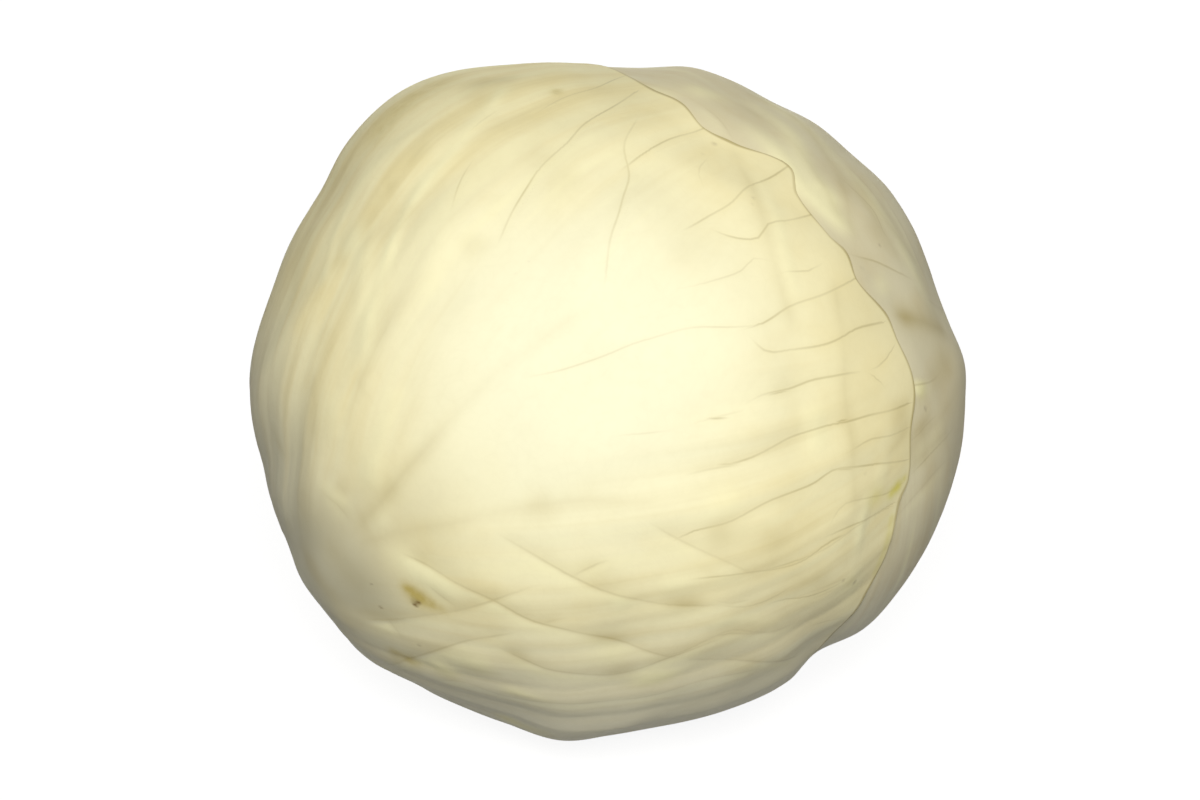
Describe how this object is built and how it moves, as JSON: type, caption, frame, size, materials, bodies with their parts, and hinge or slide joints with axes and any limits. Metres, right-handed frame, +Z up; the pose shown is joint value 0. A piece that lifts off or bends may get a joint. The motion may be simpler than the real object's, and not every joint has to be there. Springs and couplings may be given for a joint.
{
  "type": "white cabbage",
  "caption": "Trimmed white cabbage head lying on its side: smooth pale wrapper leaves with fine veins folded over a tight heart, with a cut stem.",
  "frame": {"origin": "middle of the flat spot that the head rests on, at its lowest point", "axes": "+Z up; the broad smooth side of the head faces -Y and about 25 degrees up; +X towards the crown, where the leaf edges fold over; the cut stem points to -X and down"},
  "size_m": [0.1937, 0.1767, 0.1764],
  "materials": {
    "leaf": "satin",
    "inner_leaf": "satin",
    "stem": "matte"
  },
  "bodies": {
    "root": {"stem": "stem", "heart": "inner_leaf", "leaf_front": "leaf", "leaf_right": "leaf", "leaf_top": "leaf", "leaf_under": "leaf", "leaf_back": "leaf", "leaf_inner": "leaf"}
  },
  "joints": []
}
